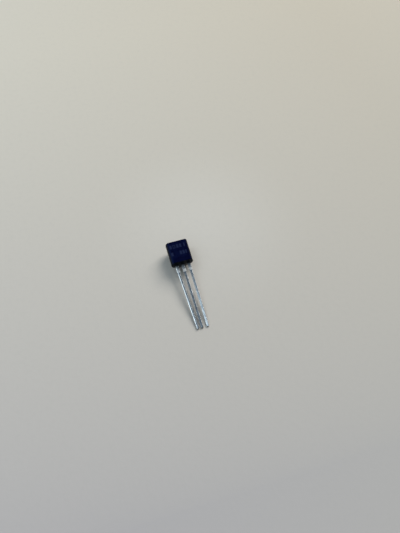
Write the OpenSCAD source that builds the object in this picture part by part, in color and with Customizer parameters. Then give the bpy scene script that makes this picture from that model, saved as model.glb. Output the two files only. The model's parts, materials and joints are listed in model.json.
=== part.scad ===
// Small through-hole transistor: a D-shaped moulded body with a row of stamped leads.
//
// Every piece is drawn in the transistor's own frame. There X runs across the row of
// leads, +Y runs along the leads towards the closed end of the body, +Z points out of
// the flat face, and the origin is where the middle lead leaves the body. The leads lie
// in the mould's parting plane, Z = 0. lay_down() then puts the transistor on a level
// surface, flat face up, on the lead-end edge of its round back and on its lead tips.

/* [Moulded body] */
// Width across the round body, which is its diameter
body_width = 4.55; // [4.2:0.05:5.45]
// Depth from the flat face to the farthest point of the round back
body_depth = 3.5; // [3.4:0.05:4.2]
// Height from the lead end to the closed end, at the parting plane
body_height = 4.85; // [4.3:0.05:5.85]
// Mould draft of both end faces, in degrees
end_draft = 5; // [0:0.5:6]
// Width on the flat face of the chamfer along each of its two long edges
flat_chamfer = 0.10; // [0.04:0.01:0.2]
// Diameter of the ejector-pin mark in the round back
ejector_d = 1.5; // [0.8:0.05:1.6]
// Depth of the ejector-pin mark below the top of the round back
ejector_depth = 0.15; // [0.05:0.01:0.3]

/* [Leads] */
// Distance between neighbouring leads, centre to centre, where they leave the body
lead_pitch = 1.27; // [1.05:0.01:1.55]
// Length of the leads outside the body
lead_length = 14.0; // [11:0.1:17]
// Width of a lead's shank
lead_width = 0.46; // [0.36:0.01:0.56]
// Thickness of the stamped strip
lead_thickness = 0.40; // [0.33:0.01:0.48]
// Width of the wider root that the cut tie bar leaves next to the body
root_width = 0.62; // [0.56:0.01:0.75]
// Length of the wider root outside the body
root_length = 2.0; // [0.8:0.05:2.5]
// Length of the slope from the root's width to the shank's
root_slope = 0.16; // [0.05:0.01:0.4]
// Lean of the emitter lead towards the middle one, in degrees
emitter_lean = 2.0; // [0:0.1:2.5]
// Lean of the collector lead towards the middle one, in degrees
collector_lean = 0.7; // [0:0.1:2.5]

/* [Lead frame inside the body] */
// Gap between neighbouring pieces of the lead frame
frame_gap = 0.30; // [0.2:0.01:0.4]
// Height above the lead end at which the leads widen into their heads
head_start = 1.2; // [0.8:0.05:1.4]
// Top of the base lead's bonding post, above the lead end
base_post_top = 2.0; // [1.7:0.05:2.3]
// Width of the base lead's bonding post
base_post_width = 0.84; // [0.7:0.01:0.9]
// Width of the emitter lead's bonding post
emitter_post_width = 0.76; // [0.66:0.01:0.86]
// Moulding between the heads and the closed end
end_cover = 0.80; // [0.5:0.05:1.2]
// How far the die paddle reaches past the middle of the collector lead
paddle_overhang = 0.36; // [0.3:0.01:0.5]

/* [Die and bond wires] */
// Side of the square silicon die
die_side = 0.45; // [0.35:0.01:0.6]
// Thickness of the die
die_thickness = 0.20; // [0.15:0.01:0.25]
// Thickness of the solder under the die
attach_thickness = 0.025; // [0.02:0.005:0.04]
// How far the solder shows around the die
attach_margin = 0.04; // [0.02:0.01:0.1]
// Distance from the die's middle to each bond pad, along both of its sides
pad_offset = 0.11; // [0.08:0.01:0.13]
// Diameter of the bond wires
wire_d = 0.05; // [0.04:0.005:0.06]
// Diameter of the ball bonds on the die
ball_d = 0.11; // [0.09:0.01:0.13]
// Height of the ball bonds
ball_height = 0.04; // [0.03:0.005:0.06]
// Rise of a wire's loop above its ball bond
loop_rise = 0.28; // [0.18:0.01:0.3]
// Length of the stitch that ends a wire on its post
stitch_length = 0.14; // [0.1:0.01:0.2]
// Width of the stitch
stitch_width = 0.09; // [0.06:0.01:0.12]
// Thickness of the stitch
stitch_thickness = 0.03; // [0.02:0.005:0.04]

/* [Hidden] */
$fn = 96;

// Overshoot of cutting shapes past the faces that they cut
over = 1;

// Body: its round back has its middle in the parting plane, so the mould opens freely
body_r = body_width / 2;
flat_z = body_depth - body_r;
flat_half = sqrt(body_r * body_r - flat_z * flat_z);
// The chamfers slope half as steeply as the round side does where the flat cuts it
chamfer_slope = acos(flat_z / body_r) / 2;
flat_inset = flat_z * tan(end_draft);
back_inset = body_r * tan(end_draft);

// Faces of the stamped strip, and what is stacked on it towards the flat face
strip_top = lead_thickness / 2;
attach_top = strip_top + attach_thickness;
die_top = attach_top + die_thickness;

// Heads of the lead frame, seen from the flat face
emitter_x = -lead_pitch;
collector_x = lead_pitch;
paddle_left = emitter_x + emitter_post_width / 2 + frame_gap;
paddle_right = collector_x + paddle_overhang;
paddle_bottom = base_post_top + frame_gap;
heads_top = body_height - end_cover;

// The die lies in the middle of the paddle, along the leads, and of the body, across them
die_at = [0, (paddle_bottom + heads_top) / 2];
base_pad = die_at + [pad_offset, -pad_offset];
emitter_pad = die_at + [-pad_offset, pad_offset];
base_stitch = [0, (head_start + base_post_top) / 2];
emitter_stitch = [emitter_x, die_at.y];

// Bond wires: sides of their section, and rings along them
wire_sides = 8;
wire_rings = 14;
// Where along the span the loop's second control point stands
loop_fall_at = 0.55;
// A cubic curve whose two inner control points stand at one height peaks at 3/4 of it
loop_control = loop_rise * 4 / 3;

// Resting pose: the lower lead-end edge of the round back and the lower edges of the
// lead tips both come down to the surface
back_edge = [back_inset, -body_r];
tip_edge = [-lead_length, -strip_top];
rest_tilt = atan2(tip_edge.y - back_edge.y, back_edge.x - tip_edge.x);
function laid(p) = [
    p.x * cos(rest_tilt) - p.y * sin(rest_tilt),
    p.x * sin(rest_tilt) + p.y * cos(rest_tilt)
];
floor_z = laid(back_edge).y;
far_y = max(laid([body_height, 0]).x, laid([body_height - back_inset, -body_r]).x);
near_y = laid([-lead_length, strip_top]).x;

module lay_down() {
    translate([0, -(far_y + near_y) / 2, -floor_z]) rotate([rest_tilt, 0, 0]) children();
}

// ---- Moulded body -----------------------------------------------------------------

// Section across the leads: a disc cut off by the flat face and its two chamfers
module body_section() {
    half = flat_half - flat_chamfer;
    wide = half + body_r * cos(chamfer_slope);
    low = flat_z - body_r * sin(chamfer_slope);
    intersection() {
        circle(r = body_r);
        polygon([
            [half, flat_z],
            [wide, low],
            [wide, -body_r - over],
            [-wide, -body_r - over],
            [-wide, low],
            [-half, flat_z]
        ]);
    }
}

// Side view, as [along the leads, towards the flat]: both ends slope from the parting
// plane, so that each half of the mould lets go of the body
module body_side() {
    polygon([
        [0, 0],
        [flat_inset, flat_z],
        [body_height - flat_inset, flat_z],
        [body_height, 0],
        [body_height - back_inset, -body_r],
        [back_inset, -body_r]
    ]);
}

module moulding() {
    difference() {
        intersection() {
            translate([0, body_height + over, 0]) rotate([90, 0, 0])
                linear_extrude(body_height + 2 * over) body_section();
            rotate([90, 0, 90]) translate([0, 0, -body_r - over])
                linear_extrude(body_width + 2 * over) body_side();
        }
        translate([0, body_height / 2, -body_r - over])
            cylinder(d = ejector_d, h = ejector_depth + over);
    }
}

// ---- Lead frame -------------------------------------------------------------------

// Outline of one lead from its head down to its tip: root, slope and shank, which leans
// by lean degrees where the slope ends
module lead_outline(x, top, lean) {
    w = lead_width / 2;
    shank = lead_length - root_length;
    along = [sin(lean), -cos(lean)];
    across = [cos(lean), sin(lean)];
    tip = [x, -root_length] + shank * along;
    polygon([
        [x - root_width / 2, top],
        [x - root_width / 2, -root_length + root_slope],
        [x - w, -root_length],
        tip - w * across,
        tip + w * across,
        [x + w, -root_length],
        [x + root_width / 2, -root_length + root_slope],
        [x + root_width / 2, top]
    ]);
}

// A rectangle of the strip from its lower left corner to its upper right one
module patch(low, high) {
    translate(low) square(high - low);
}

module strip() {
    translate([0, 0, -strip_top]) linear_extrude(lead_thickness) children();
}

module emitter_frame() {
    w = emitter_post_width / 2;
    strip() {
        lead_outline(emitter_x, head_start, emitter_lean);
        patch([emitter_x - w, head_start], [emitter_x + w, heads_top]);
    }
}

module base_frame() {
    w = base_post_width / 2;
    strip() {
        lead_outline(0, head_start, 0);
        patch([-w, head_start], [w, base_post_top]);
    }
}

module collector_frame() {
    strip() {
        lead_outline(collector_x, paddle_bottom, -collector_lean);
        patch([paddle_left, paddle_bottom], [paddle_right, heads_top]);
    }
}

// ---- Die and bond wires -----------------------------------------------------------

module square_slab(side, low, high) {
    translate([die_at.x - side / 2, die_at.y - side / 2, low])
        cube([side, side, high - low]);
}

module attach_slab() {
    square_slab(die_side + 2 * attach_margin, strip_top, attach_top);
}

module die_slab() {
    square_slab(die_side, attach_top, die_top);
}

function curve_point(p, t) =
    pow(1 - t, 3) * p[0] + 3 * t * pow(1 - t, 2) * p[1]
    + 3 * t * t * (1 - t) * p[2] + pow(t, 3) * p[3];

function curve_slope(p, t) =
    3 * pow(1 - t, 2) * (p[1] - p[0]) + 6 * t * (1 - t) * (p[2] - p[1])
    + 3 * t * t * (p[3] - p[2]);

// Ring of points around the wire at step i, in the upright plane of its loop
function wire_ring(p, i) =
    let (
        t = i / wire_rings,
        c = curve_point(p, t),
        d = curve_slope(p, t) / norm(curve_slope(p, t))
    ) [
        for (k = [0 : wire_sides - 1])
            let (a = (k + 0.5) * 360 / wire_sides, r = wire_d / 2) [
                c.x - d.y * r * cos(a),
                r * sin(a),
                c.y + d.x * r * cos(a)
            ]
    ];

module swept_wire(p) {
    points = [for (i = [0 : wire_rings]) each wire_ring(p, i)];
    n = wire_sides;
    sides = [
        for (i = [0 : wire_rings - 1], k = [0 : n - 1]) let (m = (k + 1) % n)
            each [
                [i * n + k, i * n + m, (i + 1) * n + m],
                [i * n + k, (i + 1) * n + m, (i + 1) * n + k]
            ]
    ];
    near_end = [for (k = [n - 1 : -1 : 0]) k];
    far_end = [for (k = [0 : n - 1]) wire_rings * n + k];
    polyhedron(points, concat([near_end], sides, [far_end]));
}

// A ball bond on the pad, a loop, and a stitch on the post
module wire_shape(pad, post) {
    span = norm(post - pad);
    start = die_top + ball_height / 2;
    path = [
        [0, start],
        [0, start + loop_control],
        [span * loop_fall_at, start + loop_control],
        [span, strip_top + stitch_thickness / 2]
    ];
    translate([pad.x, pad.y, 0]) rotate([0, 0, atan2(post.y - pad.y, post.x - pad.x)])
        intersection() {
            union() {
                swept_wire(path);
                translate([0, 0, die_top])
                    cylinder(d = ball_d, h = ball_height, $fn = wire_sides);
                translate([span - stitch_length / 2, -stitch_width / 2, strip_top])
                    cube([stitch_length, stitch_width, stitch_thickness]);
            }
            translate([-over, -over, strip_top])
                cube([span + 2 * over, 2 * over, body_depth]);
        }
}

module base_wire_shape() {
    wire_shape(base_pad, base_stitch);
}

module emitter_wire_shape() {
    wire_shape(emitter_pad, emitter_stitch);
}

// ---- Pieces -----------------------------------------------------------------------

module body() {
    color("#17181c") lay_down() difference() {
        moulding();
        emitter_frame();
        base_frame();
        collector_frame();
        attach_slab();
        die_slab();
        base_wire_shape();
        emitter_wire_shape();
    }
}

module emitter_lead() {
    color("#c4c8cd") lay_down() emitter_frame();
}

module base_lead() {
    color("#b9bec5") lay_down() base_frame();
}

module collector_lead() {
    color("#cdd1d5") lay_down() collector_frame();
}

module die_attach() {
    color("#9a9da1") lay_down() attach_slab();
}

module die() {
    color("#5b6470") lay_down() die_slab();
}

module base_bond_wire() {
    color("#d9b45a") lay_down() base_wire_shape();
}

module emitter_bond_wire() {
    color("#e2c06a") lay_down() emitter_wire_shape();
}

body();
emitter_lead();
base_lead();
collector_lead();
die_attach();
die();
base_bond_wire();
emitter_bond_wire();
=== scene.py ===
# %% [markdown]
# # A small transistor, flat face up
# The real object is less than two centimetres long: a black moulded body with one flat face and a
# round back, and three tinned leads stamped from one strip of metal. The CAD model already has
# every size, so this lesson adds what a CAD model leaves out: rounded mould edges, the ledge where
# the mould halves met, sheared and tinned metal, a grained surface, and light.
#
# The first cell loads the CAD model as a fixed frame. Nothing in it is moved or resized. Its box
# is kept, so that the last cell can show that the finished object is still the same size.

import json
import math

import bmesh
import bpy
from mathutils import Matrix, Vector, noise


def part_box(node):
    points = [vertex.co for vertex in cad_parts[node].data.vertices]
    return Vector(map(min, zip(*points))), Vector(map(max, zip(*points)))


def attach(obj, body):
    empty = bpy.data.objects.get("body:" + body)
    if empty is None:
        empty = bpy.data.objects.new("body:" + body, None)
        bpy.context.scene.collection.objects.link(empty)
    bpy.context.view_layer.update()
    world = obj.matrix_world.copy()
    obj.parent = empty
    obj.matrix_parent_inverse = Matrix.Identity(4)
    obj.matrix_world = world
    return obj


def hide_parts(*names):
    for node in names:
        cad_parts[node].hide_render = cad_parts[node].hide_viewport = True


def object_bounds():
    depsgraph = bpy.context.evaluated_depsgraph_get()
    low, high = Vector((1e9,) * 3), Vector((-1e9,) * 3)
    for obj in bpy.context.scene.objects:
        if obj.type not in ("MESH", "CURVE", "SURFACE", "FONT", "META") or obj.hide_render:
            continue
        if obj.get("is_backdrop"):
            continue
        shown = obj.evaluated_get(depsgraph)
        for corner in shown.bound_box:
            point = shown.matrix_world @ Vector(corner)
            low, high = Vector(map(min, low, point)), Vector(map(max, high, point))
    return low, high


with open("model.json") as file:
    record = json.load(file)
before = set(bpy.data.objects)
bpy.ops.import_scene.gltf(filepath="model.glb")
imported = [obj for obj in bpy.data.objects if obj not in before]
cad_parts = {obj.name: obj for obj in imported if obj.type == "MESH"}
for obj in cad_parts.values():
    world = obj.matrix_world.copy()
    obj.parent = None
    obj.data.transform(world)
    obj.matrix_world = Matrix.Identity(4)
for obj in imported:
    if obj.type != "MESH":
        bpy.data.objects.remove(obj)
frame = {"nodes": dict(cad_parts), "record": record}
cad_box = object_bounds()
nodes = frame["nodes"]
print("nodes:", sorted(nodes))
print("box, mm:", [round(1000 * (b - a), 3) for a, b in zip(*cad_box)])

# %% [markdown]
# ## A bench to work at
# The transistor lies a little head-up, because it rests on its round back and on the tips of its
# leads. Shaping is easier on a level bench: X across the leads, Y up along them towards the closed
# end, Z out of the flat face, in millimetres, with the origin where the middle lead enters the
# body. Two mounts of the record say which way the flat face and the leads point, so the matrix
# from the bench to the frame needs no numbers of its own. Millimetres also keep Blender's mesh
# tools away from sizes so small that they take two corners for one.

# %% Bench and frame
MM = 0.001
mounts = {mount["name"]: mount for mount in frame["record"]["mounts"]}
out_of_flat = Vector(mounts["flat_front"]["axis"])
up_the_leads = -Vector(mounts["lead_row"]["axis"])
turned = Matrix((up_the_leads.cross(out_of_flat), up_the_leads, out_of_flat)).transposed()
tips_middle = Vector(mounts["lead_row"]["pos_m"])


def on_bench(node, to_bench):
    """The corners of a CAD node, on the bench."""
    return [to_bench @ v.co for v in nodes[node].data.vertices]


from_tips = (Matrix.Translation(tips_middle) @ turned.to_4x4()).inverted()
body_start = min(p.y for p in on_bench("body", from_tips))
TO_FRAME = (
    Matrix.Translation(tips_middle + body_start * up_the_leads)
    @ turned.to_4x4()
    @ Matrix.Scale(MM, 4)
)
TO_BENCH = TO_FRAME.inverted()
tilt = math.atan2(-out_of_flat.y, out_of_flat.z)
print(f"the leads climb {math.degrees(tilt):.2f} degrees from their tips to the body")

# %% [markdown]
# ## Measures
# The sizes below are read from the CAD nodes. What the CAD model doesn't have, such as the radius
# of a lead's edge, is given by name in the cell that first needs it, in millimetres. Corners that
# should share a plane are taken as one where they lie within NEAR of it.

# %% Measure the body
points = on_bench("body", TO_BENCH)
body_r = max(p.x for p in points)
flat_z = max(p.z for p in points)
body_h = max(p.y for p in points)
NEAR = 0.002
flat_rim = [p for p in points if p.z > flat_z - NEAR]
flat_half = max(p.x for p in flat_rim)
flat_low = min(p.y for p in flat_rim)
draft = math.atan2(flat_low, flat_z)
print(f"body {2 * body_r:.2f} wide, {body_r + flat_z:.2f} deep, {body_h:.2f} high, in mm")
print(f"flat face {2 * flat_half:.2f} wide, mould draft {math.degrees(draft):.1f} degrees")

# %% [markdown]
# Each lead has a wide root next to the body, a narrow shank and a tip. Which part a corner belongs
# to follows from how far it is from the lead's end, so the same few lines measure all three.

# %% Measure the leads
LEADS = ("emitter_lead", "base_lead", "collector_lead")
# Corners nearer to the end of a lead than this belong to its tip
TIP_BAND = 0.1


def measure_lead(node):
    """Where one lead's root, slope, shank and tip are, seen from the flat face."""
    found = on_bench(node, TO_BENCH)
    low = min(p.y for p in found)
    tip = [p for p in found if p.y < low + TIP_BAND]
    bends = [p for p in found if low + TIP_BAND < p.y < 0]
    shank_top = min(p.y for p in bends)
    root_low = max(p.y for p in bends)
    root = [p.x for p in bends if p.y > root_low - NEAR]
    tip_x = (min(p.x for p in tip) + max(p.x for p in tip)) / 2
    root_x = (min(root) + max(root)) / 2
    return {
        "half": (max(p.x for p in tip) - min(p.x for p in tip)) / 2,
        "root_half": (max(root) - min(root)) / 2,
        "root_x": root_x,
        "root_low": root_low,
        "shank_top": shank_top,
        "tip_y": low,
        "lean": math.atan2(tip_x - root_x, shank_top - low),
        "top": max(p.z for p in found),
    }


lead_sizes = {node: measure_lead(node) for node in LEADS}
for node, size in lead_sizes.items():
    print(node, {name: round(value, 3) for name, value in size.items()})

# %% [markdown]
# ## Mesh helpers
# Three small helpers do most of the shaping. slice_off cuts a mesh with a plane, throws away what
# lies beyond it and closes the cut, as a saw does. ring only adds a line of corners where a plane
# passes. finish_mesh turns a bmesh into an object, and a fourth helper, say_closed, prints whether
# it is closed.

# %% Mesh helpers
def everything(bm):
    return bm.verts[:] + bm.edges[:] + bm.faces[:]


def slice_off(bm, point, normal):
    """Cuts away what lies beyond a plane, and closes the cut with one face."""
    cut = bmesh.ops.bisect_plane(
        bm, geom=everything(bm), plane_co=point, plane_no=normal, clear_outer=True
    )
    rim = [e for e in cut["geom_cut"] if isinstance(e, bmesh.types.BMEdge)]
    bmesh.ops.edgeloop_fill(bm, edges=rim)


def ring(bm, point, normal):
    """Adds a line of corners where a plane passes through the mesh."""
    bmesh.ops.bisect_plane(bm, geom=everything(bm), plane_co=point, plane_no=normal)


def finish_mesh(bm, name, materials=()):
    """Makes an object of a bmesh, still on the bench."""
    bmesh.ops.recalc_face_normals(bm, faces=bm.faces)
    mesh = bpy.data.meshes.new(name)
    bm.to_mesh(mesh)
    bm.free()
    for material in materials:
        mesh.materials.append(material)
    thing = bpy.data.objects.new(name, mesh)
    bpy.context.scene.collection.objects.link(thing)
    return thing


def say_closed(thing):
    """Prints how many faces a mesh has, its open edges and its volume."""
    bm = bmesh.new()
    bm.from_mesh(thing.data)
    bad = sum(not e.is_manifold for e in bm.edges)
    print(f"{thing.name}: {len(bm.faces)} faces, {bad} open edges, {bm.calc_volume():.4g}")
    bm.free()


# %% [markdown]
# ## The moulding
# The body is a round bar with one side cut flat. It could be drawn as an outline and extruded, but
# a bar cut by planes is closer to how its mould is made, and each cut stays easy to change. The
# mould's sharp corners are never quite sharp in the plastic, so the two long edges of the flat
# become arcs: a few planes, each tangent to the arc, shave the corner step by step.

# %% Round bar with a flat
ROUND_SIDES = 144
EDGE_CUTS = 7
OVER = 1.0

body_bm = bmesh.new()
bmesh.ops.create_circle(
    body_bm,
    cap_ends=True,
    radius=body_r,
    segments=ROUND_SIDES,
    matrix=Matrix.Translation((0, -OVER, 0)) @ Matrix.Rotation(math.pi / 2, 4, "X"),
)
pulled = bmesh.ops.extrude_face_region(body_bm, geom=body_bm.faces[:])
moved = [g for g in pulled["geom"] if isinstance(g, bmesh.types.BMVert)]
bmesh.ops.translate(body_bm, verts=moved, vec=(0, body_h + 2 * OVER, 0))
slice_off(body_bm, (0, 0, flat_z), (0, 0, 1))

# The arc that joins the flat's edge to the round side touches both of them
corner_half = math.sqrt(body_r**2 - flat_z**2)
edge_r = (corner_half**2 - flat_half**2) / (2 * (body_r - flat_z))
arc_turn = math.atan2(flat_half, flat_z - edge_r)
for side in (-1, 1):
    for step in range(EDGE_CUTS):
        angle = arc_turn * (step + 0.5) / EDGE_CUTS
        normal = Vector((side * math.sin(angle), 0, math.cos(angle)))
        middle = Vector((side * flat_half, 0, flat_z - edge_r))
        slice_off(body_bm, middle + edge_r * normal, normal)
print(f"the flat's long edges are arcs of radius {edge_r:.2f} mm")

# %% [markdown]
# Both ends slope away from the parting plane by the mould's draft, so each end is cut twice: once
# for the front half of the mould and once for the back half. Both cuts pass through the same
# corners, which leaves a few of them double, so they are merged. A bevel then rounds the edges of
# the two ends. It takes only the edges that turn sharply, so the fine steps of the back stay.

# %% Drafted ends with round edges
END_RADIUS = 0.07
SHARP = math.radians(50)
end_tilt = {1: (math.cos(draft), math.sin(draft)), -1: (math.cos(draft), -math.sin(draft))}
for half in (1, -1):
    along, out = end_tilt[half]
    slice_off(body_bm, (0, 0, 0), (0, -along, out))
    slice_off(body_bm, (0, body_h, 0), (0, along, out))
bmesh.ops.remove_doubles(body_bm, verts=body_bm.verts, dist=NEAR)

end_edges = [e for e in body_bm.edges if e.is_manifold and e.calc_face_angle() > SHARP]
bmesh.ops.bevel(
    body_bm,
    geom=end_edges,
    affect="EDGES",
    offset=END_RADIUS,
    offset_type="OFFSET",
    segments=4,
    profile=0.5,
    material=-1,
)
print(f"{len(end_edges)} end edges rounded to {END_RADIUS} mm")

# %% [markdown]
# The two halves of the mould never match perfectly. All round the body, in the plane of the leads,
# that leaves a fine ledge. The mesh already has a line of corners in that plane. One more ring just
# in front of it gives the ledge its second rim, and then everything from that ring forwards is
# drawn in by a few hundredths of a millimetre.

# %% Parting ledge
LEDGE = 0.014
LEDGE_WIDTH = 0.010
ring(body_bm, (0, 0, LEDGE_WIDTH), (0, 0, 1))
front = [v for v in body_bm.verts if v.co.z > LEDGE_WIDTH - NEAR]
mid_height = Matrix.Translation((0, body_h / 2, 0))
shrink = Matrix.Diagonal((1 - LEDGE / body_r, 1 - 2 * LEDGE / body_h, 1, 1))
bmesh.ops.transform(
    body_bm, verts=front, matrix=mid_height @ shrink @ mid_height.inverted()
)
body_piece = finish_mesh(body_bm, "moulded_body")
say_closed(body_piece)

# %% [markdown]
# ## The leads
# The leads are punched from a strip. A punch rolls the edges over on the side that it enters and
# leaves them sharper on the side where it leaves, so the upper edges get a wide round and the
# lower ones a small one. The outline is already right in the CAD model, so a merged copy of it is
# the blank. Rings of new corners along and across the shank then let its top be crowned.

# %% Lead blanks
TOP_ROUND = 0.028
LOW_ROUND = 0.02
# Corners closer than this are one corner, and faces that turn less than this are one side
ONE_CORNER = 0.0005
ONE_SIDE = math.radians(1)


def blank(node):
    """A CAD node's shape as a clean mesh on the bench, with one face per flat side."""
    bm = bmesh.new()
    bm.from_mesh(nodes[node].data)
    bmesh.ops.transform(bm, matrix=TO_BENCH, verts=bm.verts)
    bmesh.ops.remove_doubles(bm, verts=bm.verts, dist=ONE_CORNER)
    bmesh.ops.dissolve_limit(bm, angle_limit=ONE_SIDE, verts=bm.verts, edges=bm.edges)
    return bm


def round_level(bm, height, radius, segments):
    """Rounds every edge that lies at one height."""
    level = [e for e in bm.edges if all(abs(v.co.z - height) < NEAR for v in e.verts)]
    bmesh.ops.bevel(
        bm,
        geom=level,
        affect="EDGES",
        offset=radius,
        offset_type="OFFSET",
        segments=segments,
        profile=0.5,
        material=-1,
    )


# %% [markdown]
# A drawn and stamped strip is never a perfect mirror. Its top is a little crowned, the collector
# lead is twisted a little, the emitter lead is curled down along its left edge, and the height
# wanders by a few thousandths of a millimetre along the way. That makes the light a sharp line on
# one lead and a soft sheen on the next. The tops are only lowered, so no lead grows out of its CAD
# shape. All of it fades in over a short way from the body, where the moulding holds the leads.

# %% Crown, twist and curl of the leads
RING_STEP = 0.3
# Where the lines along the shank run, as shares of half its width
COLUMNS = (-0.85, -0.7, -0.5, -0.25, 0.0, 0.4, 0.8)
CROWN = 0.004
WANDER = 0.003
TWIST = {"emitter_lead": 0.0, "base_lead": 0.0, "collector_lead": 0.085}
CURL = {"emitter_lead": 0.05, "base_lead": 0.0, "collector_lead": 0.0}
TWIST_OVER = 11.0
FADE_IN = 0.3
# Waves of the wandering height for each millimetre, and how far apart the leads read the noise
WAVES = 0.9
LANE = 7


def centre_x(size, y):
    """Where the middle of a lead is at one height on the bench."""
    return size["root_x"] + math.tan(size["lean"]) * max(0.0, size["shank_top"] - y)


def half_width(size, y):
    """Half the width of a lead at one height on the bench."""
    share = (y - size["shank_top"]) / (size["root_low"] - size["shank_top"])
    return size["half"] + min(1.0, max(0.0, share)) * (size["root_half"] - size["half"])


def top_drop(node, place):
    """How far the top of a lead lies under the CAD model's flat top."""
    size = lead_sizes[node]
    u = (place.x - centre_x(size, place.y)) / half_width(size, place.y)
    to_left = (1 - min(1.0, u)) / 2
    fade = min(1.0, max(0.0, -place.y / FADE_IN))
    lane = Vector((size["root_x"] * LANE, place.y * WAVES, 0.5))
    drift = WANDER * (1 + noise.noise(lane))
    twist = TWIST[node] * min(1.0, max(0.0, -place.y / TWIST_OVER))
    return fade * (CROWN * u * u + twist * to_left + CURL[node] * to_left**3 + drift)


def shape_lead(node):
    """One lead with rounded edges and a crowned, twisted or curled top."""
    size = lead_sizes[node]
    bm = blank(node)
    round_level(bm, size["top"], TOP_ROUND, segments=3)
    round_level(bm, -size["top"], LOW_ROUND, segments=2)
    steps = int(-size["tip_y"] / RING_STEP)
    for i in range(1, steps):
        ring(bm, (0, -i * RING_STEP, 0), (0, 1, 0))
    lean = size["lean"]
    for column in COLUMNS:
        start = (size["root_x"] + column * size["half"], size["shank_top"], 0)
        ring(bm, start, (math.cos(lean), math.sin(lean), 0))
    for v in bm.verts:
        if v.co.y < 0 and v.co.z > 0:
            v.co.z -= top_drop(node, v.co)
    return finish_mesh(bm, node.replace("_lead", "_leg"))


leg_pieces = {node: shape_lead(node) for node in LEADS}
for piece in leg_pieces.values():
    say_closed(piece)

# %% [markdown]
# ## What is cut into the moulding
# Three things are cut into the body: the round mark of the pin that pushed it out of the mould,
# the marks on the flat, and the pockets in which the leads and the die sit. The marks are plain
# blocks of different widths, a hundredth of a millimetre deep, as a laser leaves them, and one of
# them has an open middle. Each starts as one flat face. An inset and a deleted middle make the
# open one, and an extrusion makes a solid of it. Solid cutters and a Boolean do the rest better
# than bmesh operators, which have none that subtracts one solid from another. Of the Boolean's
# solvers, Manifold is the one that keeps a closed mesh closed where faces only just touch.

# %% Cutters
EJECTOR_R = 0.75
EJECTOR_DEPTH = 0.15
PIN_TAPER = 0.03
PIN_LENGTH = 1.0
PIN_SIDES = 72
MARK_DEPTH = 0.010
MARK_HEIGHT = 0.80
MARK_RIM = 0.16
# How far the marks' cutter reaches up from their floors
MARK_CUT = 0.2
# Width of each kind of mark, and whether its middle is open
BLOCK, OPEN, NARROW = (0.44, False), (0.54, True), (0.28, False)
# For each row its height on the flat, then the middle of each mark and its kind
MARK_ROWS = (
    (3.58, ((-1.50, BLOCK), (-0.80, OPEN), (-0.10, BLOCK), (0.52, BLOCK), (1.34, NARROW))),
    (2.00, ((-1.56, BLOCK), (0.24, BLOCK), (0.82, BLOCK), (1.34, NARROW))),
)

pin = bmesh.new()
bmesh.ops.create_cone(
    pin,
    cap_ends=True,
    segments=PIN_SIDES,
    radius1=EJECTOR_R,
    radius2=EJECTOR_R - PIN_TAPER,
    depth=PIN_LENGTH,
    matrix=Matrix.Translation((0, body_h / 2, -body_r + EJECTOR_DEPTH - PIN_LENGTH / 2)),
)
pin_cutter = finish_mesh(pin, "pin_cutter")

marks = bmesh.new()
for row_y, row in MARK_ROWS:
    for mark_x, (width, is_open) in row:
        place = Matrix.Translation((mark_x, row_y, flat_z - MARK_DEPTH))
        place = place @ Matrix.Diagonal((width, MARK_HEIGHT, 1, 1))
        # A square with sides of 1, which its place stretches to the mark's width and height
        plate = bmesh.ops.create_grid(marks, x_segments=1, y_segments=1, size=0.5, matrix=place)
        if is_open:
            middle = plate["verts"][0].link_faces[0]
            bmesh.ops.inset_region(
                marks, faces=[middle], thickness=MARK_RIM, use_boundary=True, use_even_offset=True
            )
            bmesh.ops.delete(marks, geom=[middle], context="FACES")
raised = bmesh.ops.extrude_face_region(marks, geom=marks.faces[:], use_keep_orig=True)
upper = [g for g in raised["geom"] if isinstance(g, bmesh.types.BMVert)]
bmesh.ops.translate(marks, verts=upper, vec=(0, 0, MARK_CUT))
mark_cutter = finish_mesh(marks, "mark_cutter")
print(f"{sum(len(row) for _, row in MARK_ROWS)} marks and one pin mark to cut")

# %% [markdown]
# The leads that were just shaped cut their own pockets, so they fit them exactly. The inner pieces
# are cut from copies of their CAD nodes. The wires' copies are sunk by a hair, because a wire's
# end lies face to face with its post, and a Boolean is safer with a clear crossing there.

# %% Cut the moulding
WIRES = ("base_bond_wire", "emitter_bond_wire")
INNER = ("die_attach", "die", *WIRES)
SINK = 0.002
# Edges shorter than this are closed up after the cuts
SLIVER = 1e-5
inner_cutters = {node: finish_mesh(blank(node), node + "_cutter") for node in INNER}
for node in WIRES:
    inner_cutters[node].data.transform(Matrix.Translation((0, 0, -SINK)))


def carve(thing, cutters):
    """Subtracts solids from a thing, one after the other, and keeps the result."""
    for cutter in cutters:
        step = thing.modifiers.new("cut", "BOOLEAN")
        step.operation = "DIFFERENCE"
        step.solver = "MANIFOLD"
        step.object = cutter
    bpy.context.view_layer.update()
    graph = bpy.context.evaluated_depsgraph_get()
    carved = bpy.data.meshes.new_from_object(thing.evaluated_get(graph))
    thing.modifiers.clear()
    thing.data = carved
    bm = bmesh.new()
    bm.from_mesh(carved)
    bmesh.ops.dissolve_degenerate(bm, dist=SLIVER, edges=bm.edges)
    bm.to_mesh(carved)
    bm.free()


spent = [pin_cutter, mark_cutter, *inner_cutters.values()]
carve(body_piece, [pin_cutter, mark_cutter, *leg_pieces.values(), *inner_cutters.values()])
for cutter in spent:
    bpy.data.objects.remove(cutter)
say_closed(body_piece)

# %% [markdown]
# ## Writing materials as sums
# A material is a graph of nodes. Long chains of Math nodes are hard to read, so one small class
# wraps an output and overloads the arithmetic operators: 1 - mask * 0.5 then adds the nodes by
# itself. Every other node comes from its method add, which takes the node's type, its settings and
# the values or wires of its inputs.

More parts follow.
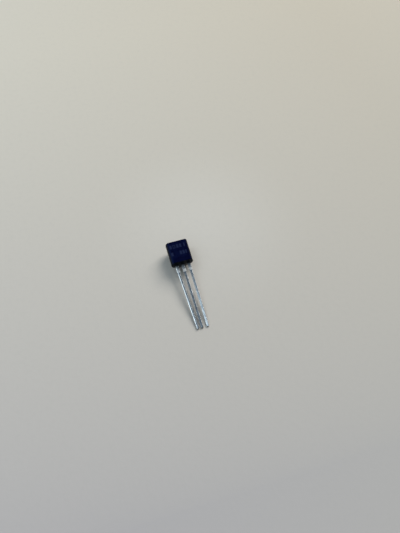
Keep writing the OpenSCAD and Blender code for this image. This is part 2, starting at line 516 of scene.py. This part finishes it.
# %% Wires
class Wire:
    """An output of a material's node. Arithmetic on wires adds Math nodes."""

    def __init__(self, tree, socket=None):
        self.tree = tree
        self.socket = socket

    def add(self, kind, settings=None, inputs=None, output=0):
        """Adds any node: settings first, then the values or wires of its inputs."""
        node = self.tree.nodes.new(kind)
        for name, value in (settings or {}).items():
            setattr(node, name, value)
        for name, value in (inputs or {}).items():
            if isinstance(value, Wire):
                self.tree.links.new(value.socket, node.inputs[name])
            else:
                node.inputs[name].default_value = value
        return Wire(self.tree, node.outputs[output] if node.outputs else None)

    def math(self, operation, *values):
        """Adds a Math node that works on wires or numbers."""
        return self.add("ShaderNodeMath", {"operation": operation}, dict(enumerate(values)))

    def __add__(self, other):
        return self.math("ADD", self, other)

    def __sub__(self, other):
        return self.math("SUBTRACT", self, other)

    def __rsub__(self, other):
        return self.math("SUBTRACT", other, self)

    def __mul__(self, other):
        return self.math("MULTIPLY", self, other)

    __radd__ = __add__
    __rmul__ = __mul__


def paint(name):
    """An empty material, and a wire to start its graph from."""
    material = bpy.data.materials.new(name)
    material.use_nodes = True
    material.node_tree.nodes.clear()
    return material, Wire(material.node_tree)


def bench_position(start):
    """The place on the surface, on the bench, in millimetres, as a vector and three wires."""
    turn_back = Matrix.Rotation(-tilt, 3, "X")
    offset = -(turn_back @ TO_FRAME.to_translation()) / MM
    coordinates = start.add("ShaderNodeTexCoord", output="Object")
    vector = start.add(
        "ShaderNodeMapping",
        {"vector_type": "POINT"},
        {
            "Vector": coordinates,
            "Location": offset,
            "Rotation": (-tilt, 0, 0),
            "Scale": (1 / MM,) * 3,
        },
    )
    split = {"Vector": vector}
    return vector, [start.add("ShaderNodeSeparateXYZ", None, split, axis) for axis in "XYZ"]


def grain(start, vector, scale, detail=3.0, stretch=(1, 1, 1)):
    """Noise between 0 and 1, at so many bumps a millimetre."""
    mapped = start.add(
        "ShaderNodeMapping", None, {"Vector": vector, "Scale": [scale * s for s in stretch]}
    )
    return start.add(
        "ShaderNodeTexNoise", None, {"Vector": mapped, "Scale": 1.0, "Detail": detail}
    )


def between(start, value, low, high):
    """0 below low, 1 above high, and a smooth step between them."""
    return start.add(
        "ShaderNodeMapRange",
        {"interpolation_type": "SMOOTHSTEP"},
        {"Value": value, "From Min": low, "From Max": high},
    )


def blend(start, factor, first, second):
    """A colour between two colours."""
    return start.add(
        "ShaderNodeMix", {"data_type": "RGBA"}, {0: factor, 6: first, 7: second}, 2
    )


def surface(start, varying, fixed, height=None, distance=0.0):
    """Closes a material with one Principled BSDF, and a bump if it has a height."""
    inputs = {**fixed, **varying}
    if height is not None:
        inputs["Normal"] = start.add(
            "ShaderNodeBump", None, {"Height": height, "Distance": distance, "Strength": 1.0}
        )
    shader = start.add("ShaderNodeBsdfPrincipled", None, inputs)
    start.add("ShaderNodeOutputMaterial", None, {"Surface": shader})


def say_nodes(material):
    """Prints how many nodes a material has."""
    print(f"{material.name}: {len(material.node_tree.nodes)} nodes")


# %% [markdown]
# ## Black moulding compound
# Moulding compound is epoxy filled with fine silica, and its skin copies the spark-eroded grain of
# the mould. Up close one sees a fine grain, pale specks of filler, soft cloudy patches and a few
# scuffs. The sides, the ends and the back are near black. The flat face is painted a dull navy,
# which is a painted reflection of the cool light from above. The navy is blended in over the last
# tenth of a millimetre below the flat, so its round edges show no line. The left shoulder, beside
# the flat, has a painted highlight, a little paler and bluer.
#
# The disc that the ejector pin left is smoother. The back half of the mould is polished, so the
# round back has a gloss that the flat hasn't. A clear coat whose weight grows towards the back
# shows that without a line between two materials. All patterns read the place on the bench, so
# they neither slide nor stretch.

# %% Moulding compound
# The navy is a painted reflection of the cool light from above, used on the flat only
NAVY_SHEEN = ((0.0000, 0.0009, 0.0160, 1), (0.0009, 0.0028, 0.0245, 1))
BLACK = ((0.0028, 0.0044, 0.0080, 1), (0.0052, 0.0076, 0.0130, 1))
FILLER = (0.020, 0.024, 0.045, 1)
SCUFF = (0.016, 0.020, 0.036, 1)
# A painted highlight on the left shoulder, paler and bluer than the skin
SHOULDER_SHEEN = (0.004, 0.011, 0.048, 1)
# Bumps for each millimetre
CLOUD_RATE, SKIN_RATE, FINE_RATE, SPECK_RATE = 0.9, 9.0, 22.0, 30.0
SCRATCH_RATES = (1.5, 26.0, 26.0)
# Values of the noise between which each kind of spot fades in
CLOUDY, SPECKS, SCUFFS, SCUFF_FIELDS, WORN = (
    (0.35, 0.65),
    (0.72, 0.80),
    (0.66, 0.74),
    (0.45, 0.6),
    (0.5, 0.72),
)
# Wear near the flat's edges, by how far past its side and how far below it, and near the two ends
SIDE_WEAR = (-0.02, 0.08)
SIDE_WEAR_DEPTHS = (0.25, 0.02)
END_WEAR = (0.16, 0.07)
DULL_END = 0.2
PIN_EDGE = 0.01
PIN_HEIGHTS = (-1.6, -1.8)
# Depths below the flat where the painted navy sheen begins and is full
SHEEN_DEPTHS = (0.12, 0.02)
# How far right of the flat's left edge the painted highlight on the shoulder begins, and how far
# left it is full
SHOULDER_SHEEN_SIDE = (0.15, -0.03)
# Heights above the leads' plane where the painted shoulder highlight and the polish begin and are
# full
SHOULDER_SHEEN_HEIGHTS = (0.5, 0.9)
POLISH_HEIGHTS = (0.3, -0.7)
GRAIN_DEPTH = 0.003


def moulding_compound():
    """Black epoxy with worn edges, a glossy round back, a painted navy sheen on the flat and a
    painted highlight on the left shoulder.
    """
    material, start = paint("moulding_compound")
    vector, (x, y, z) = bench_position(start)
    clouds = grain(start, vector, CLOUD_RATE, 4.0)
    fine = grain(start, vector, FINE_RATE, 2.0)
    rough_skin = grain(start, vector, SKIN_RATE, 3.0)
    specks = between(start, grain(start, vector, SPECK_RATE, 0.0), *SPECKS)
    scratch = grain(start, vector, 1.0, 2.0, SCRATCH_RATES)
    scuffs = between(start, scratch, *SCUFFS) * between(start, clouds, *SCUFF_FIELDS)
    side = x.math("ABSOLUTE", x)
    end = y.math("ABSOLUTE", y - body_h / 2)
    near_side = between(start, side, *[flat_half + reach for reach in SIDE_WEAR])
    near_side = near_side * between(start, z, *[flat_z - depth for depth in SIDE_WEAR_DEPTHS])
    near_end = between(start, end, *[body_h / 2 - reach for reach in END_WEAR])
    edges = near_side.math("MAXIMUM", near_side, near_end)
    worn = edges * between(start, rough_skin, *WORN)
    from_pin = x.math("SQRT", x * x + (y - body_h / 2) * (y - body_h / 2))
    pin_disc = between(start, from_pin, EJECTOR_R + PIN_EDGE, EJECTOR_R - PIN_EDGE)
    pin_disc = pin_disc * between(start, z, *PIN_HEIGHTS)
    cloudy = between(start, clouds, *CLOUDY)
    # The navy on the flat is a painted reflection of the cool light from above
    flat_sheen = between(start, z, *[flat_z - depth for depth in SHEEN_DEPTHS])
    colour = blend(start, flat_sheen, blend(start, cloudy, *BLACK), blend(start, cloudy, *NAVY_SHEEN))
    colour = blend(start, specks * 0.3, colour, FILLER)
    colour = blend(start, scuffs * 0.3 + worn * 0.2, colour, SCUFF)
    # A painted highlight, paler and bluer, on the left shoulder beside the flat
    shoulder_sheen = between(start, x, *[reach - flat_half for reach in SHOULDER_SHEEN_SIDE])
    shoulder_sheen = shoulder_sheen * between(start, z, *SHOULDER_SHEEN_HEIGHTS)
    colour = blend(start, shoulder_sheen * (0.45 + 0.4 * rough_skin), colour, SHOULDER_SHEEN)
    roughness = 0.30 + 0.10 * rough_skin + 0.08 * scuffs + 0.15 * edges - 0.12 * pin_disc
    at_end = between(start, end, body_h / 2 - DULL_END, body_h / 2)
    polished = between(start, z, *POLISH_HEIGHTS) * (1 - at_end)
    height = fine * (1 - 0.7 * pin_disc) + 0.8 * rough_skin + scratch * 0.2
    surface(
        start,
        {
            "Base Color": colour,
            "Roughness": roughness,
            "Coat Weight": polished * (0.75 + 0.3 * clouds - 0.5 * scuffs) + 0.15 * at_end,
        },
        {"Specular IOR Level": 0.02, "IOR": 1.5, "Coat Roughness": 0.2, "Coat IOR": 1.45},
        height,
        GRAIN_DEPTH * MM,
    )
    return material


compound = moulding_compound()
say_nodes(compound)

# %% [markdown]
# ## Etched marks
# A laser leaves a shallow floor that is paler and rougher than the skin. Its beam runs in close
# parallel lines, and a sine of the height on the bench draws them.

# %% Etched marks
MARK_DARK = (0.0040, 0.0090, 0.036, 1)
MARK_PALE = (0.0120, 0.0190, 0.060, 1)
LINE_PITCH = 0.055
MARK_RATE = 26.0
MARK_ROUGH = 0.004


def etched_mark():
    """The laser leaves a paler, rougher floor with fine lines across it."""
    material, start = paint("etched_mark")
    vector, (_, y, _) = bench_position(start)
    lines = y.math("SINE", y * (2 * math.pi / LINE_PITCH)) * 0.5 + 0.5
    fine = grain(start, vector, MARK_RATE, 2.0)
    share = lines * 0.5 + fine * 0.5
    colour = blend(start, share, MARK_DARK, MARK_PALE)
    surface(
        start,
        {"Base Color": colour, "Roughness": 0.55 + 0.2 * fine},
        {"Specular IOR Level": 0.06},
        lines * 0.6 + fine,
        MARK_ROUGH * MM,
    )
    return material


etching = etched_mark()
say_nodes(etching)

# %% [markdown]
# ## Tinned metal
# The strip is copper alloy under a thin coat of tin. Rolling and stamping leave fine lines along
# it, and the tin lies over them in soft pools with duller spots between. Towards the body the tin
# is darkened with painted shade and a painted dark reflection, farther down on the left lead than
# on the right one. The wide roots were cleaned of mould flash. Next to the body they carry painted
# shade, and they are rougher at their lower end, their heel, which the painted darkening spares on
# the middle and right leads.
#
# The sides went past the punch, which dragged fine lines across them. They are greyer and darker
# than the rolled top, most of all below the roots, and that darker grey is partly the punch's
# finish and partly painted shade. The normal in object coordinates finds them. Where the tie bar
# and the tips were cut off after plating, the bare alloy shows.

# %% Sides of the strip
SIDEWAYS = (0.75, 0.97)


def sideways(start):
    """1 where a surface looks to the left or the right, 0 where it looks up, down or along."""
    normal = start.add("ShaderNodeTexCoord", output="Normal")
    across = start.add("ShaderNodeSeparateXYZ", None, {"Vector": normal}, "X")
    return between(start, across.math("ABSOLUTE", across), *SIDEWAYS)


# %% Tin
TIN = ((0.52, 0.55, 0.58, 1), (0.72, 0.74, 0.76, 1))
SPOT = (0.30, 0.325, 0.36, 1)
ROOT_TIN = (0.60, 0.60, 0.58, 1)
# The next two colours are painted shade: on the tin towards the body, with a painted dark
# reflection, and on the roots next to the body
PAINTED_DIM = (0.34, 0.36, 0.38, 1)
ROOT_SHADE = (0.05, 0.05, 0.05, 1)
# The grey of the sides: partly the punch's finish, partly painted shade
PUNCHED_SHADED_GREY = (0.33, 0.335, 0.34, 1)
# Bumps for each millimetre across, along and through the strip
LINE_RATES = (34.0, 0.7, 34.0)
POOL_STRETCH = (1.6, 0.45, 1.6)
SPOT_STRETCH = (1.0, 0.8, 1.0)
DRAG_RATES = (30.0, 30.0, 1.5)
POOL_RATE, SPOT_RATE, TIN_FINE_RATE = 2.2, 2.6, 18.0
# Values of the noise between which the pools and the duller spots fade in
POOLS, SPOTS = (0.3, 0.7), (0.52, 0.62)
# Half of the height over which the root's tin fades in, and the same at the body
ROOT_FADE, BODY_FADE = 0.05, 0.02
# Heights above the root's lower end where its heel begins and is full, and the places across the
# leads from which a heel is spared the painted darkening
HEEL_HEIGHTS = (0.9, 0.4)
BRIGHT_HEEL_FROM = (-1.1, -0.4)
# How much lower the painted darkening begins for each millimetre to the left, and where it begins
# and is full on the middle lead
DIMMING_SLANT = 1.8
DIMMING_HEIGHTS = (-9.1, -1.6)
# Where the painted shade on the roots begins and is full, and where it fades out at the body
ROOT_SHADE_HEIGHTS = (-1.0, 0.15)
ROOT_SHADE_END = (0.1, 0.0)
TIN_DEPTH = 0.0015


def tin_plate():
    """Bright tin with pools and dull spots, and painted shade towards the body and on the roots."""
    material, start = paint("tin_plate")
    vector, (x, y, _) = bench_position(start)
    root_low = lead_sizes["base_lead"]["root_low"]
    lines = grain(start, vector, 1.0, 3.0, LINE_RATES)
    pools = grain(start, vector, POOL_RATE, 3.0, POOL_STRETCH)
    fine = grain(start, vector, TIN_FINE_RATE, 2.0)
    root = between(start, y, root_low - ROOT_FADE, root_low + ROOT_FADE)
    root = root * between(start, y, BODY_FADE, -BODY_FADE)
    colour = blend(start, between(start, pools, *POOLS), *TIN)
    spots = between(start, grain(start, vector, SPOT_RATE, 2.0, SPOT_STRETCH), *SPOTS)
    colour = blend(start, spots * 0.5, colour, SPOT)
    heel = root * between(start, y, *[root_low + height for height in HEEL_HEIGHTS])
    colour = blend(start, root * 0.5, colour, ROOT_TIN)
    bright_heel = heel * between(start, x, *BRIGHT_HEEL_FROM)
    # Painted shade and a painted dark reflection on the tin towards the body, lower on the left
    painted_dimming = between(start, y - DIMMING_SLANT * x + 0.8 * pools, *DIMMING_HEIGHTS)
    painted_dimming = painted_dimming * (1 - 0.8 * bright_heel)
    colour = blend(start, painted_dimming * 0.7, colour, PAINTED_DIM)
    # Painted shade on the roots next to the body
    root_shade = between(start, y + 0.3 * pools + 0.1 * fine, *ROOT_SHADE_HEIGHTS)
    root_shade = root_shade * between(start, y, *ROOT_SHADE_END)
    colour = blend(start, root_shade * 0.9, colour, ROOT_SHADE)
    # The sides get a darker grey that is partly the punch's finish and partly painted shade
    punched_and_shaded = sideways(start) * (1 - 0.7 * root)
    drag = grain(start, vector, 1.0, 2.0, DRAG_RATES)
    colour = blend(start, punched_and_shaded * 0.8, colour, PUNCHED_SHADED_GREY)
    roughness = 0.09 + 0.08 * pools + 0.05 * lines + 0.04 * root + 0.12 * heel
    roughness = roughness + punched_and_shaded * (0.10 + 0.15 * drag)
    surface(
        start,
        {"Base Color": colour, "Roughness": roughness},
        {"Metallic": 1.0},
        lines * 0.5 + pools * 0.7 + fine * 0.2 + punched_and_shaded * drag * 1.5,
        TIN_DEPTH * MM,
    )
    return material


tin = tin_plate()
say_nodes(tin)

# %% [markdown]
# ## Bare metal
# A punch shears the strip for part of its thickness and tears the rest. The sheared band is smooth,
# and the torn one is grainy and duller. The height above the middle of the strip tells one from the
# other, so both are one material.

# %% Bare metal
TORN = ((0.12, 0.085, 0.065, 1), (0.30, 0.22, 0.17, 1))
SHEARED = (0.30, 0.28, 0.26, 1)
TORN_RATE = 24.0
SHEARED_HEIGHTS = (0.02, 0.08)
TORN_DEPTH = 0.008


def bare_alloy():
    """Cut metal: a smooth sheared band on top and a grainy torn one below it."""
    material, start = paint("bare_alloy")
    vector, (_, _, z) = bench_position(start)
    torn = grain(start, vector, TORN_RATE, 4.0)
    drag = grain(start, vector, 1.0, 2.0, DRAG_RATES)
    sheared = between(start, z + 0.06 * torn, *SHEARED_HEIGHTS)
    colour = blend(start, torn, *TORN)
    colour = blend(start, sheared * 0.7, colour, SHEARED)
    surface(
        start,
        {"Base Color": colour, "Roughness": 0.55 - 0.2 * sheared},
        {"Metallic": 1.0},
        torn * (1 - sheared) + drag * 0.5,
        TORN_DEPTH * MM,
    )
    return material


alloy = bare_alloy()
say_nodes(alloy)

# %% [markdown]
# ## Metals and silicon inside
# The die, its solder and the gold wires sit where nobody looks, but a part in a library may be
# shown cut open. They stay CAD nodes, and only get a material.

# %% Solder
SOLDER = ((0.36, 0.36, 0.37, 1), (0.62, 0.61, 0.60, 1))
SOLDER_RATE = 9.0
SOLDER_DEPTH = 0.004


def solder():
    """Dull, cloudy solder."""
    material, start = paint("dull_solder")
    vector, _ = bench_position(start)
    pools = grain(start, vector, SOLDER_RATE, 4.0)
    colour = blend(start, pools, *SOLDER)
    surface(
        start,
        {"Base Color": colour, "Roughness": 0.35 + 0.3 * pools},
        {"Metallic": 1.0},
        pools,
        SOLDER_DEPTH * MM,
    )
    return material


dull_solder = solder()
say_nodes(dull_solder)

# %% [markdown]
# The die is cut from a polished wafer. Two pads of metal on its top take the wires. They are so
# thin that they are fields of colour here, not shapes.

# %% Silicon
SILICON = ((0.13, 0.15, 0.19, 1), (0.20, 0.22, 0.26, 1))
SILICON_RATE = 30.0
SILICON_DEPTH = 0.001
PAD = (0.74, 0.74, 0.75, 1)
# From the die's middle to the middle of each pad, and half of a pad's side with its soft edge
PAD_OFFSET = 0.11
PAD_EDGE = (0.085, 0.075)


def silicon():
    """Polished grey, with a paler field of metal where each wire is bonded."""
    material, start = paint("silicon")
    vector, (x, y, _) = bench_position(start)
    low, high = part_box("die")
    middle = TO_BENCH @ ((low + high) / 2)
    fields = None
    for side in (-1, 1):
        aside = x.math("ABSOLUTE", x - (middle.x - side * PAD_OFFSET))
        along = y.math("ABSOLUTE", y - (middle.y + side * PAD_OFFSET))
        field = between(start, aside, *PAD_EDGE) * between(start, along, *PAD_EDGE)
        fields = field if fields is None else fields + field
    cloudy = grain(start, vector, SILICON_RATE, 2.0)
    colour = blend(start, cloudy, *SILICON)
    colour = blend(start, fields, colour, PAD)
    surface(
        start,
        {"Base Color": colour, "Roughness": 0.14 + 0.2 * fields},
        {"Metallic": 0.9},
        cloudy + fields * 2,
        SILICON_DEPTH * MM,
    )
    return material


die_silicon = silicon()
say_nodes(die_silicon)

# %% [markdown]
# The bond wires are gold, drawn very thin. At that size a warm colour that varies a little and a
# low roughness are enough.

# %% Gold wire
GOLD = ((0.80, 0.56, 0.20, 1), (0.93, 0.70, 0.32, 1))
GOLD_RATE = 40.0
GOLD_DEPTH = 0.001


def gold_wire():
    """Drawn gold with a faint grain."""
    material, start = paint("gold_wire")
    vector, _ = bench_position(start)
    fine = grain(start, vector, GOLD_RATE, 2.0)
    colour = blend(start, fine, *GOLD)
    surface(
        start,
        {"Base Color": colour, "Roughness": 0.18 + 0.12 * fine},
        {"Metallic": 1.0},
        fine,
        GOLD_DEPTH * MM,
    )
    return material


wire_gold = gold_wire()
say_nodes(wire_gold)

# %% [markdown]
# ## Dress the pieces
# Faces get their material by where they are: the floors of the marks are the only faces that lie
# just under the flat and look straight out, and the cut metal is on the tips and on the sides of
# the roots, where the tie bar was.

# %% Dress the body
SMOOTH_TO = math.radians(32)
# A face looks along an axis where its normal has more than this share of that direction
FACING = 0.9


def dress(piece, materials, choose):
    """Gives each face the material that choose says, and puts the piece in the frame."""
    mesh = piece.data
    mesh.materials.clear()
    for material in materials:
        mesh.materials.append(material)
    for face in mesh.polygons:
        face.material_index = choose(face)
    mesh.shade_smooth()
    mesh.set_sharp_from_angle(angle=SMOOTH_TO)
    weighted = piece.modifiers.new("even_shading", "WEIGHTED_NORMAL")
    weighted.keep_sharp = True
    graph = bpy.context.evaluated_depsgraph_get()
    piece.data = bpy.data.meshes.new_from_object(piece.evaluated_get(graph))
    piece.modifiers.clear()
    piece.data.transform(TO_FRAME)
    found = [face.material_index for face in piece.data.polygons]
    shares = [f"{found.count(i)} {material.name}" for i, material in enumerate(materials)]
    print(f"{piece.name} faces:", ", ".join(shares))


def skin_of(face):
    """1 on the floors of the marks, and 0 elsewhere."""
    deep = flat_z - face.center.z
    return int(abs(deep - MARK_DEPTH) < NEAR and face.normal.z > FACING)


dress(body_piece, [compound, etching], skin_of)
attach(body_piece, "root")
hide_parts("body")

# %% [markdown]
# The tie bar joined the three leads until it was cut away, and it left its patches on the sides of
# each root, at the lower end.

# %% Dress the leads
TIE_BAR = 0.55
for node, piece in leg_pieces.items():
    size = lead_sizes[node]

    def cut_metal(face, size=size):
        at_tip = face.normal.y < -FACING and face.center.y < size["tip_y"] + TIP_BAND
        tie_bar = size["root_low"] < face.center.y < size["root_low"] + TIE_BAR
        return int(at_tip or (tie_bar and abs(face.normal.x) > FACING))

    dress(piece, [tin, alloy], cut_metal)
    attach(piece, "root")
    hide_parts(node)

# %% [markdown]
# The inner pieces are CAD nodes, and their meshes stay as they are. Only their list of materials is
# emptied and filled again.

# %% Dress the inner pieces
for node, material in (
    ("die_attach", dull_solder),
    ("die", die_silicon),
    ("base_bond_wire", wire_gold),
    ("emitter_bond_wire", wire_gold),
):
    nodes[node].data.materials.clear()
    nodes[node].data.materials.append(material)
    print(node, "gets", material.name)

# %% [markdown]
# ## Paper, light and camera
# The transistor lies on plain pale paper. A big soft light stands behind it on the right, so its
# shadow falls forward to the left, and a pale room fills the rest. The room is darker overhead,
# which keeps the flat face dark and lets the leads show their edges. A cool glow high on the left
# and a small soft light there give the leads their bluish tops.

# %% Paper
PAPER_SIZE = 3.0
TONE_FROM = Vector((-0.05, -0.04))
TONE_TO = Vector((0.06, 0.08))
# The paper's tones are a painted light falloff: darker in front, and warmer on the right
PAPER_FRONT_SHADED = ((0.455, 0.430, 0.438, 1), (0.472, 0.448, 0.416, 1))
PAPER_BACK_LIT = ((0.655, 0.617, 0.542, 1), (0.582, 0.524, 0.435, 1))
FIBRE = (0.40, 0.39, 0.37, 1)
TONE_BEND = 0.60
# A painted pool of light on the paper, behind the transistor: its middle, radius and strength
LIGHT_POOL_AT = Vector((0.0066, 0.0141))
LIGHT_POOL_R = 0.026
LIGHT_POOL_SHARE = 0.09
FIBRE_RATE = 900.0
FIBRE_SHARE = 0.3
FIBRE_DEPTH = 0.02


def paper():
    """Plain paper with a painted light falloff, darker in front and warmer on the right, a painted
    pool of light and a mottle.
    """
    material, start = paint("paper")
    place = start.add("ShaderNodeTexCoord", output="Object")
    across = start.add("ShaderNodeSeparateXYZ", None, {"Vector": place}, "X")
    depth = start.add("ShaderNodeSeparateXYZ", None, {"Vector": place}, "Y")
    right = (across - TONE_FROM.x) * (1 / (TONE_TO.x - TONE_FROM.x))
    right = right.math("MINIMUM", right.math("MAXIMUM", right, 0.0), 1.0)
    back = (depth - TONE_FROM.y) * (1 / (TONE_TO.y - TONE_FROM.y))
    back = back.math("MINIMUM", back.math("MAXIMUM", back, 0.0), 1.0)
    shaded_front_tone = blend(start, right, *PAPER_FRONT_SHADED)
    lit_back_tone = blend(start, right, *PAPER_BACK_LIT)
    colour = blend(start, back.math("POWER", back, TONE_BEND), shaded_front_tone, lit_back_tone)
    aside = across - LIGHT_POOL_AT.x
    beyond = depth - LIGHT_POOL_AT.y
    from_light_pool = aside.math("SQRT", aside * aside + beyond * beyond)
    # A painted pool of light on the paper behind the transistor
    paler = between(start, from_light_pool, LIGHT_POOL_R, 0.0) * LIGHT_POOL_SHARE
    colour = blend(start, paler, colour, (1, 1, 1, 1))
    fibres = start.add(
        "ShaderNodeTexNoise", None, {"Vector": place, "Scale": FIBRE_RATE, "Detail": 4.0}
    )
    colour = blend(start, (fibres - 0.5) * FIBRE_SHARE, colour, FIBRE)
    surface(
        start,
        {"Base Color": colour},
        {"Roughness": 0.85, "Specular IOR Level": 0.0},
        fibres,
        FIBRE_DEPTH * MM,
    )
    return material


sheet = bmesh.new()
bmesh.ops.create_grid(sheet, x_segments=1, y_segments=1, size=PAPER_SIZE / 2)
floor = finish_mesh(sheet, "paper_floor", [paper()])
floor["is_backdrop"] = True
print(f"paper {PAPER_SIZE} m square, with {len(floor.data.materials[0].node_tree.nodes)} nodes")

# %% [markdown]
# Both lamps and the camera are placed in the same way, by how far round, how high and how far off
# they stand, and they look back at what they are meant for. One helper does that for all three.

# %% Lights
def stand_off(name, data, target, azimuth, elevation, distance):
    """Puts a lamp or a camera some way off a target, and turns it to look there."""
    thing = bpy.data.objects.new(name, data)
    a, e = math.radians(azimuth), math.radians(elevation)
    back = Vector((math.sin(a) * math.cos(e), -math.cos(a) * math.cos(e), math.sin(e)))
    thing.location = target + back * distance
    thing.rotation_euler = back.to_track_quat("Z", "Y").to_euler()
    bpy.context.scene.collection.objects.link(thing)
    print(f"{name}: {azimuth} degrees round, {elevation} degrees up, {distance} m off")
    return thing


def softbox(name, azimuth, elevation, distance, width, watts, colour):
    """A square soft light that looks at the transistor from one direction."""
    lamp = bpy.data.lights.new(name, "AREA")
    lamp.shape = "SQUARE"
    lamp.size = width
    lamp.energy = watts
    lamp.color = colour
    stand_off(name, lamp, Vector((0, 0, 0)), azimuth, elevation, distance)


softbox(
    "key",
    azimuth=130,
    elevation=44,
    distance=1.2,
    width=0.75,
    watts=12.5,
    colour=(1.0, 0.98, 0.94),
)
softbox(
    "window",
    azimuth=-121,
    elevation=62,
    distance=1.0,
    width=0.26,
    watts=0.6,
    colour=(0.92, 1.0, 0.99),
)

# %% [markdown]
# Polished metal shows what is round it, so the room matters as much for the leads as the lamps do.
# It is a world of three colours, mixed by the direction that its light comes from.

# %% Room
ROOM_LOW = (0.50, 0.50, 0.49, 1)
ROOM_TOP = (0.15, 0.195, 0.24, 1)
ROOM_GLOW = (0.75, 0.90, 1.0, 1)
# Parts of a direction: how far up the room darkens, and how far left and up the glow begins
DARKENS_UP = (0.05, 0.55)
GLOW_LEFT = (0.10, -0.30)
GLOW_UP = (0.5, 0.8)
world = bpy.data.worlds.new("room")
bpy.context.scene.world = world
world.use_nodes = True
world.node_tree.nodes.clear()
sky = Wire(world.node_tree)
direction = sky.add("ShaderNodeTexCoord", output="Generated")
upward = sky.add("ShaderNodeSeparateXYZ", None, {"Vector": direction}, "Z")
room_colour = blend(sky, between(sky, upward, *DARKENS_UP), ROOM_LOW, ROOM_TOP)
leftward = sky.add("ShaderNodeSeparateXYZ", None, {"Vector": direction}, "X")
glow_share = between(sky, leftward, *GLOW_LEFT) * between(sky, upward, *GLOW_UP)
room_colour = blend(sky, glow_share, room_colour, ROOM_GLOW)
glow = sky.add("ShaderNodeBackground", None, {"Color": room_colour, "Strength": 1.0})
sky.add("ShaderNodeOutputWorld", None, {"Surface": glow})
bpy.context.scene.view_settings.view_transform = "Standard"
print(f"room: {len(world.node_tree.nodes)} nodes")

# %% [markdown]
# The camera looks down from in front, a little from the left, as one looks at a small part on a
# desk.

# %% Camera
CAMERA_AZIMUTH = -16.9
CAMERA_ELEVATION = 59.8
CAMERA_DISTANCE = 0.116
AIM = Vector((0.0036, 0.00405, 0.0))
FOCAL_LENGTH = 37.8
lens = bpy.data.cameras.new("camera")
lens.lens = FOCAL_LENGTH
lens.clip_start = 0.001
lens.clip_end = 10.0
camera = stand_off("camera", lens, AIM, CAMERA_AZIMUTH, CAMERA_ELEVATION, CAMERA_DISTANCE)
bpy.context.scene.camera = camera

# %% [markdown]
# ## The same size
# The finished pieces have to fill the box of the CAD model without passing it. Both boxes are
# gathered in metres and printed in millimetres, so that they can be compared.

# %% Same size as the CAD model
new_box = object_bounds()
boxes = {"cad": [list(c) for c in cad_box], "visual": [list(c) for c in new_box]}
for name, (low, high) in boxes.items():
    print(name, "box, mm:", [round(1000 * (b - a), 3) for a, b in zip(low, high)])
